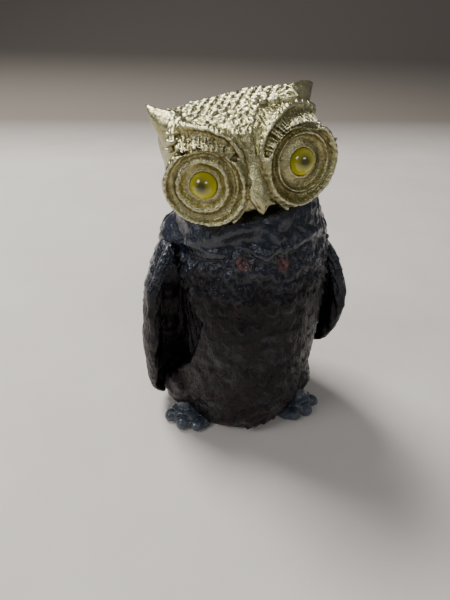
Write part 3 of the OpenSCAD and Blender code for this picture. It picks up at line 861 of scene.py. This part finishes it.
def disc_profile(rho, phi, side):
    """Height of the disc's face: rolled rim, groove, inner ring, dish, socket ring.

    The owl's right disc has a thick open ring inside it, the left one a thin crisp ring.
    """
    def ridge(at, width, height):
        return height * np.exp(-((rho - at) / width) ** 2)
    near = beak_side(phi, side)
    wob = 0.20 * np.sin(3 * phi + side) + 0.12 * np.sin(7 * phi + 2 * side)
    top = np.clip(np.sin(phi), 0, 1)
    rim = ridge(12.8 + 1.0 * near - 0.6 * top + 0.3 * wob, 1.25 + 0.2 * near, 2.4 + 0.4 * near)
    slope = 1.0 * near * smoothstep(9.8, 14.0, rho)
    if side < 0:
        open_ = 1 - 0.6 * np.exp(-((np.abs(phi - 2.0)) / 0.5) ** 2)
        inner = ridge(8.3 + wob, 1.45, 2.2) * open_ + ridge(10.8 + 0.4 * near, 0.40, 0.5)
        dish = 0
    else:
        inner = ridge(9.5 + 0.3 * wob, 0.55, 1.7)
        dish = 0.5 * smoothstep(10.5, 8.5, rho) - 0.9 * np.exp(-((rho - 7.4) / 1.5) ** 2)
    return rim + slope + inner + dish + ridge(5.0, 0.4, 0.35) - 0.65


head = Field([-34, -40, -1], [34, 32, 40], 0.35)


def skull_shape(x, y, z):
    half, front, back = [np.interp(z, FINE_SKULL[:, 0], FINE_SKULL[:, i]) for i in (1, 2, 3)]
    p = 2.22
    rho = ((np.abs(x) / half) ** p + (np.abs(y) / np.where(y < 0, front, back)) ** p) ** (1 / p)
    return smax(smax((rho - 1) * np.minimum(half, 24), z - CROWN_Z, 5.0), FLOOR - z, 1.6)


head.fill(skull_shape)


def disc_shape(side):
    def shape(x, y, z):
        rho, phi, c = to_disc(side, x, y, z)
        edge = DISC_R + 0.3 + 1.5 * beak_side(phi, side) + 0.28 * np.sin(5 * phi + side) \
            + 0.16 * np.sin(11 * phi)
        face = c - disc_profile(rho, phi, side)
        return smax(smax(face, rho - edge + np.clip(-c - 6, 0, 9) * 0.25, 1.0), -c - 13, 2.0)
    return shape


for side in (-1, 1):
    c = disc_axes(side)[3]
    head.add(c - 19, c + 19, disc_shape(side), 0.6)

# small barb at the outer edge of the left disc
ax, up, out, c = disc_axes(1)
e = c + ax * (DISC_R - 0.4) + up * 3.0
head.tube([[*(e - ax * 1.5), 1.2], [*(e + ax * 1.1 + up * 0.6), 0.4]], 4, 0.5)

# brows: each has a crisp edge that rises beside the beak and runs back to the ear, with a
# sunken hood between the edge and the disc
EDGES = {-1: np.array([[-9.5, -31.3, 2.0, 0.6], [-6.6, -32.3, 5.2, 0.75], [-4.3, -33.1, 10.4, 0.8],
                       [-3.5, -32.9, 15.0, 0.8], [-3.0, -32.0, 20.2, 0.8],
                       [-3.5, -31.3, 24.4, 0.85], [-4.9, -30.3, 27.7, 0.95],
                       [-7.0, -29.3, 30.4, 1.0], [-10.3, -27.8, 32.3, 1.1],
                       [-13.7, -25.5, 33.6, 1.15], [-17.4, -22.3, 34.0, 1.2],
                       [-21.4, -17.0, 33.8, 1.2]]),
         1: np.array([[9.5, -31.3, 2.0, 0.6], [7.2, -32.3, 5.2, 0.75], [5.4, -33.1, 10.4, 0.8],
                      [4.6, -32.9, 15.0, 0.8], [3.7, -32.0, 19.0, 0.8], [3.4, -31.2, 22.7, 0.85],
                      [4.8, -30.1, 26.6, 0.95], [8.1, -28.5, 30.1, 1.0], [11.8, -26.5, 32.5, 1.1],
                      [15.5, -23.8, 33.3, 1.15], [20.3, -20.0, 32.0, 1.1],
                      [24.8, -16.0, 29.6, 0.9]])}
PATHS = {side: curve(edge, steps(200)) for side, edge in EDGES.items()}
rng = np.random.default_rng(5)
for side in (-1, 1):
    edge, path = EDGES[side], PATHS[side]
    ax, up, out, c = disc_axes(side)
    head.tube(edge[5:] + [0, 2.7, -2.5, 2.0], 24, 1.6)

    def across_hood(t):
        """The edge, the disc's rim, the middle between them and the radius of the hollow."""
        a = path[int(t * 199)][:3]
        ray = ax * ((a - c) @ ax) + up * ((a - c) @ up)
        rim = c + ray / np.linalg.norm(ray) * 12.9 + out * 1.2
        gap = np.linalg.norm(a - rim)
        return a, rim, a * 0.5 + rim * 0.5 + out * 0.24 * gap, min(4.2, 0.48 * gap)

    hollow = [[*mid, r] for _, _, mid, r in map(across_hood, np.linspace(0.48, 0.99, 14))]
    head.tube(hollow, 30, 0.7, cut=True)
    head.tube(edge, 48, 0.6)
    for t in np.linspace(0.50, 0.985, 18):
        a, rim, mid, r = across_hood(t)
        low = mid - out * (r - 0.1) + rng.normal(0, 0.12, 3)
        head.tube([[*(a + [0, 0.4, -0.4]), 0.55], [*low, 0.48], [*rim, 0.40]], 8, 0.35)
# petals along the right brow with a heavy clump at its outer end, beads on the left one
for t in np.linspace(0.62, 0.93, 9):
    a = PATHS[-1][int(t * 199)]
    head.blob(a[:3] + np.array([0, -0.5, 0.4]) + rng.normal(0, 0.2, 3), [1.25, 1.7, 1.0], 0.3,
              turn=0.9 * t, tip=0.5)
for c, r in (((-22.6, -18.6, 32.2), 2.3), ((-23.4, -21.4, 30.6), 2.0), ((-21.4, -24.2, 29.0), 1.5),
             ((-24.6, -20.6, 28.0), 1.7), ((-22.8, -23.8, 26.6), 1.2)):
    head.blob(c, [r * 1.05, r, r * 0.8], 0.6)
for t in np.linspace(0.80, 1.0, 6):
    a = PATHS[1][int(t * 199)]
    head.blob(a[:3] + rng.normal(0, 0.25, 3) + [0, 0.2, 0.4], [1.1, 1.4, 1.0], 0.4)

# beak: broad body, keel and side folds; above it a flat strip leads up to the crown
head.tube([[0, -28.2, 27, 1.6], [0, -29.2, 21.5, 1.9], [0, -31.2, 17, 2.7],
           [0, -33.9, 11.8, 3.6], [0, -35.6, 8.2, 2.4], [0, -36.3, 4.7, 0.45]], 18, 0.9)
head.tube([[0, -33.2, 16.5, 0.5], [0, -36.6, 12.5, 0.9],
           [0, -37.8, 8.8, 0.8], [0, -37.2, 5.6, 0.4]], 16, 0.5)
for side in (-1, 1):
    head.tube([[side * 1.5, -34.0, 15.5, 0.3], [side * 1.9, -36.2, 11.5, 0.5],
               [side * 1.0, -37.2, 7.5, 0.3]], 12, 0.3, cut=True)
    # lines that lead from the forehead down to the beak
    for k in (0.8, 2.1):
        head.tube([[side * k * 1.9, -27.6, 28.6, 0.5], [side * k * 1.1, -30.6, 22.6, 0.5],
                   [side * k * 0.8, -32.2, 17.0, 0.35]], 8, 0.3)

# ears: pointed horns at the corners of the crown
for side in (-1, 1):
    drop = side * 1.4
    rows = [[side * 16.5, -8.5, 25.6, 7.0], [side * 20.4, -8.4, 29.0, 5.9],
            [side * 24.0, -6.0, 31.6 - drop * 0.5, 4.2],
            [side * 27.4 + 0.6, -2.4, 33.5 - drop * 1.1, 2.1],
            [side * 30.0 + 1.2, 0.4, 35.0 - drop * 2.0, 0.4]]
    head.tube(rows, 18, 1.6)
    ridge = np.array(rows)
    ridge[:, 2] += ridge[:, 3] * 0.92
    ridge[:, 3] = [1.0, 1.0, 0.8, 0.5, 0.25]
    head.tube(ridge, 14, 0.5)
    for dy, dz in ((-2.8, 2.0), (1.8, 3.2)):
        line = np.array(rows[1:])
        line[:, 1] += dy * line[:, 3] / 4
        line[:, 2] += dz * line[:, 3] / 4
        line[:, 3] = [0.5, 0.5, 0.4, 0.2]
        head.tube(line, 12, 0.4)

# sockets for the glass eyes
for side in (-1, 1):
    c = disc_axes(side)[3]

    def socket(x, y, z, side=side):
        rho, _, h = to_disc(side, x, y, z)
        return np.maximum(rho - EYE_R - 0.06, -h - 2.9)
    head.add(c - 9, c + 9, socket, 0.12, True)

hp, hq = head.mesh()


def loop_feathers(p, centres):
    """Small modelled feathers, each a raised loop round a hollow, seen in plan."""
    out = np.zeros(len(p))
    for cx, cy, turn, size, height in centres:
        w, d = 1.35 * size, 1.95 * size
        near = (np.abs(p[:, 0] - cx) < d * 1.9) & (np.abs(p[:, 1] - cy) < d * 1.9)
        u, v = p[near, 0] - cx, p[near, 1] - cy
        c, s_ = math.cos(turn), math.sin(turn)
        u, v = c * u + s_ * v, -s_ * u + c * v
        e = np.sqrt((u / w) ** 2 + (v / d) ** 2)
        rim = np.exp(-((e - 0.80) / 0.25) ** 2) * (0.40 + 0.60 * smoothstep(0.9, -0.5, v / d))
        hollow = -0.4 * np.exp(-(e / 0.5) ** 2)
        out[near] = np.maximum(out[near], height * (rim + 0.22 * smoothstep(1.25, 1.0, e))) \
            + height * hollow
    return out


def chase_head(p, q):
    n = normals(p, q)
    rng = np.random.default_rng(12)
    x, y, z = p.T
    up = smoothstep(0.25, 0.6, n[:, 2]) * smoothstep(24, 27, z)
    # crown: a wide field of looped feathers, then two clusters and a small one above the beak
    centres = []

    def patch(xs, ys, step_x, step_y, size, height):
        for r, cy in enumerate(np.arange(ys[0], ys[1], step_y)):
            for cx in np.arange(xs[0] + (r % 2) * step_x / 2, xs[1], step_x):
                centres.append((cx + rng.normal(0, 0.2), cy + rng.normal(0, 0.25),
                                rng.normal(0, 0.35) + 0.02 * cx, size * rng.uniform(0.85, 1.15),
                                height * rng.uniform(0.75, 1.15)))
    patch((-21.0, 21.0), (-12.6, 12.0), 3.4, 4.4, 1.15, 0.95)
    patch((-11.5, -2.4), (-21.0, -16.4), 2.8, 3.4, 0.9, 0.9)
    patch((-0.6, 7.6), (-19.6, -15.2), 2.8, 3.4, 0.9, 0.9)
    patch((-3.6, 3.2), (-26.6, -23.0), 2.4, 2.6, 0.72, 0.55)
    loops = loop_feathers(p, centres)
    ragged = 0.8 * noise(p, 3.2, 4.0)
    main = smoothstep(-16.3, -14.9, y + ragged - 1.6 * np.exp(-((x - 12) / 5) ** 2))

    def oval(cx, cy, rx, ry):
        return np.sqrt(((x - cx) / rx) ** 2 + ((y - cy) / ry) ** 2) - 1
    left = smoothstep(1.1, -0.2, oval(-7.0, -20.0, 6.0, 3.2))
    right = smoothstep(1.1, -0.2, oval(3.4, -18.4, 5.4, 3.0))
    small = smoothstep(1.0, -0.1, oval(-0.4, -25.6, 4.6, 2.8))
    plinth = 0.9 * main + 0.9 * np.maximum(left, right) + 0.6 * small
    out = up * (loops + plinth - 0.4)
    # smooth valleys keep shallow combed lines
    lines = wave(x + 0.16 * y * np.sign(x) + 0.5 * noise(p, 5.0, 2.0), 1.5)
    valley = (1 - np.clip(main + left + right + small, 0, 1)) * (y < -10)
    out += 0.14 * lines * valley * up
    # notched rims and hatched bands on the discs
    for side in (-1, 1):
        rho, phi, c = to_disc(side, x, y, z)
        on = (rho < DISC_R + 2.2) & (c > -3) & (rho > EYE_R + 0.5)
        near = beak_side(phi, side)
        bead = np.sin(phi * 38 + 4 * noise(p, 4.0, 3.0)) * np.exp(
            -((rho - 12.7 - 1.6 * near) / 1.3) ** 2)
        band = np.sin(phi * 52 + 2.5 * noise(p, 3.0, 6.0)) * near * np.exp(
            -((rho - 12.2) / 1.3) ** 2)
        ring = np.sin(phi * 25 + 3.5 * noise(p, 2.6, 6.0)) * np.exp(-((rho - 8.6) / 1.2) ** 2)
        dish = (0.14 if side < 0 else 0.06) * noise(p, 1.6, 7.0)
        out += on * (0.09 * bead + 0.07 * band + (0.08 if side < 0 else 0.02) * ring + dish)
    # back and sides of the head: rows of shallow scale feathers
    back = smoothstep(-9, 3, y) * smoothstep(0.75, 0.35, n[:, 2]) * (z < 32)
    ang = np.arctan2(x, y)
    flat = np.stack([ang * 28, 0 * x, z], 1)
    scales = tufts(flat, 31.0, 0.0, 4.6, 5.6, 1.05, 41.0)
    barb = wave(ang * 28 + 0.8 * noise(p, 4.0, 2.0), 1.5)
    out += back * (scales + 0.12 * barb)
    # tool marks all over
    out += 0.20 * fbm(p, 1.5, 31.0) + 0.22 * fbm(p, 4.5, 33.0)
    sockets = np.minimum(*[rho + 50 * (h < -4) for rho, _, h in
                           (to_disc(side, x, y, z) for side in (-1, 1))])
    free = smoothstep(EYE_R + 0.1, EYE_R + 0.9, sockets) * smoothstep(FLOOR, FLOOR + 2, z)
    return p + n * (out * free)[:, None]


hp = chase_head(hp, hq)
# how sunken each point is, at a small and a broad scale: the gold uses these for patina, painted shade
# and painted highlight
make_piece("head_cast", from_head(hp), hq, "head", "head_casting", GOLD,
           {"sunk": hollows(hp, hq, 5), "broad_shade": hollows(hp, hq, 40)})


# ---- eyes
def make_eye(name, side, node):
    """A domed glass eye: a turned profile with a ground edge and a flat back."""
    ax, up, out, c = disc_axes(side)
    profile = [(0.0, -2.3), (2.5, -2.3), (EYE_R - 0.4, -2.3), (EYE_R - 0.1, -2.2), (EYE_R, -1.9)]
    for i in range(1, 22):
        t = i / 22 * math.pi / 2
        profile.append((EYE_R * math.cos(t), -0.75 + (EYE_R - 0.1) * math.sin(t)))
    profile.append((0.0, EYE_R - 0.85))
    seg = 64
    rings = profile[1:-1]
    turns = [2 * math.pi * j / seg for j in range(seg)]
    pts = [c + out * profile[0][1]]
    pts += [c + ax * r * math.cos(t) + up * r * math.sin(t) + out * h
            for r, h in rings for t in turns]
    pts.append(c + out * profile[-1][1])
    last = len(pts) - 1
    faces = []
    for i in range(len(rings) - 1):
        for j in range(seg):
            a, b = 1 + i * seg + j, 1 + i * seg + (j + 1) % seg
            faces.append((a, b, b + seg, a + seg))
    for j in range(seg):
        faces.append((0, 1 + (j + 1) % seg, 1 + j))
        faces.append((last, last - seg + j, last - seg + (j + 1) % seg))
    pts = np.array(pts)
    rel = pts - c
    a, b = rel @ ax, rel @ up
    mesh = bpy.data.meshes.new(name)
    mesh.from_pydata((from_head(pts) * MM).tolist(), [], faces)
    mesh.polygons.foreach_set("use_smooth", [True] * len(faces))
    # the pupil shows through the dome, lifted towards a viewer who looks down on the owl
    off_pupil = np.sqrt((a + 0.5 + 0.4 * side) ** 2 + (b - 0.9) ** 2)
    # the low mark runs from the top of the eye to its bottom and carries the painted light of the lower
    # crescent
    finish_piece(name, mesh, "head", node, GLASS,
                 {"out": off_pupil / EYE_R, "low": 0.5 - 0.5 * b / EYE_R})


make_eye("glass_eye_of_right_side", -1, "eye_glass_right")
make_eye("glass_eye_of_left_side", 1, "eye_glass_left")

# ---- parts that stay as in the CAD
KEPT = ((STEEL, ("wing_pins", "foot_pins", "base_plate", "neck_stud", "plain_washer",
                 "spring_washer")),
        (BRASS, ("base_screws", "neck_bush", "lock_nut")),
        (FELT, ("base_felt",)),
        (CARD, ("eye_back_right", "eye_back_left")))
for material, nodes in KEPT:
    for node in nodes:
        o = frame["nodes"][node]
        if not o.material_slots:
            o.data.materials.append(material)
        for slot in o.material_slots:
            slot.material = material


# ---- floor, light, camera
def floor():
    """A pale sheet that curves up far behind the object, darkened with painted shade from 0.4 m behind
    it.
    """
    ys = [-1.2] + list(np.linspace(-0.8, 1.6, 13)) + \
        [1.6 + 0.6 * math.sin(t) for t in np.linspace(0.15, math.pi / 2, 9)] + [2.2]
    zs = [0.0] * 14 + [0.6 - 0.6 * math.cos(t) for t in np.linspace(0.15, math.pi / 2, 9)] + [1.8]
    xs = np.linspace(-2.4, 2.4, 17)
    pts = [(x, y, z) for y, z in zip(ys, zs) for x in xs]
    nx = len(xs)
    faces = [(r * nx + c, r * nx + c + 1, (r + 1) * nx + c + 1, (r + 1) * nx + c)
             for r in range(len(ys) - 1) for c in range(nx - 1)]
    me = bpy.data.meshes.new("floor")
    me.from_pydata(pts, [], faces)
    me.polygons.foreach_set("use_smooth", [True] * len(faces))
    m = Mat("floor")
    base = m.mix(m.span(m.noise(60.0), 0.35, 0.7), (0.63, 0.585, 0.54), (0.68, 0.635, 0.59))
    base = m.mix(m.span(m.noise(0.8, 4.0, 0.7), 0.35, 0.75, 0.0, 0.25), base,
                 (0.56, 0.51, 0.46))
    # painted shade: the sheet turns dark brown from 0.4 m to 0.62 m behind the object
    apart = m.node("ShaderNodeSeparateXYZ")
    m.link(m.coord(), apart.inputs[0])
    base = m.mix(m.span(apart.outputs["Y"], 0.40, 0.62), base, (0.24, 0.21, 0.18))
    me.materials.append(m.shade(Base_Color=base, Roughness=0.7, Specular_IOR_Level=0.3,
                                Normal=m.bump(m.noise(0.6), 0.04)))
    put_in_scene("floor", me)


def area_light(name, where, at, size, watts, colour=(1, 1, 1)):
    data = bpy.data.lights.new(name, "AREA")
    data.shape, data.size, data.size_y = "RECTANGLE", size[0], size[1]
    data.energy, data.color = watts, colour
    o = put_in_scene(name, data)
    o.location = where
    o.rotation_mode = "QUATERNION"
    o.rotation_quaternion = (Vector(at) - Vector(where)).to_track_quat("-Z", "Y")


floor()
area_light("key", (-0.42, 0.46, 1.05), (0, 0, 0.05), (0.40, 0.34), 19.0, (1.0, 0.99, 0.97))
area_light("side", (-1.0, -0.35, 0.95), (0, 0, 0.06), (0.5, 0.5), 5.0, (0.97, 0.98, 1.0))
area_light("front", (0.35, -1.2, 1.15), (0, 0, 0.08), (0.5, 0.3), 3.1, (1.0, 0.99, 0.97))

world = bpy.data.worlds.new("soft_room")
bpy.context.scene.world = world
world.use_nodes = True
sky = world.node_tree.nodes["Background"].inputs
sky["Color"].default_value = (0.90, 0.93, 1.0, 1.0)
sky["Strength"].default_value = 0.21

# The camera stands where a telephone was held: a little to the owl's right, above its head.
CAM_PLACE = np.array([-43.0, -172.0, 174.5]) * MM
CAM_AZIMUTH, CAM_DOWN, CAM_ROLL = (math.radians(v) for v in (-11.4, 34.0, 2.8))
ahead = np.array([-math.sin(CAM_AZIMUTH), math.cos(CAM_AZIMUTH), 0])
right = np.array([math.cos(CAM_AZIMUTH), math.sin(CAM_AZIMUTH), 0])
view = ahead * math.cos(CAM_DOWN) - np.array([0, 0, 1]) * math.sin(CAM_DOWN)
up = ahead * math.sin(CAM_DOWN) + np.array([0, 0, 1]) * math.cos(CAM_DOWN)
right, up = (right * math.cos(CAM_ROLL) + up * math.sin(CAM_ROLL),
             up * math.cos(CAM_ROLL) - right * math.sin(CAM_ROLL))
camera = bpy.data.cameras.new("camera")
camera.lens, camera.sensor_width = 27.06, 36.0
camera.clip_start, camera.clip_end = 0.01, 10.0
cam = put_in_scene("camera", camera)
cam.matrix_world = Matrix([[right[i], up[i], -view[i], CAM_PLACE[i]] for i in range(3)]
                          + [[0, 0, 0, 1]])
bpy.context.scene.camera = cam
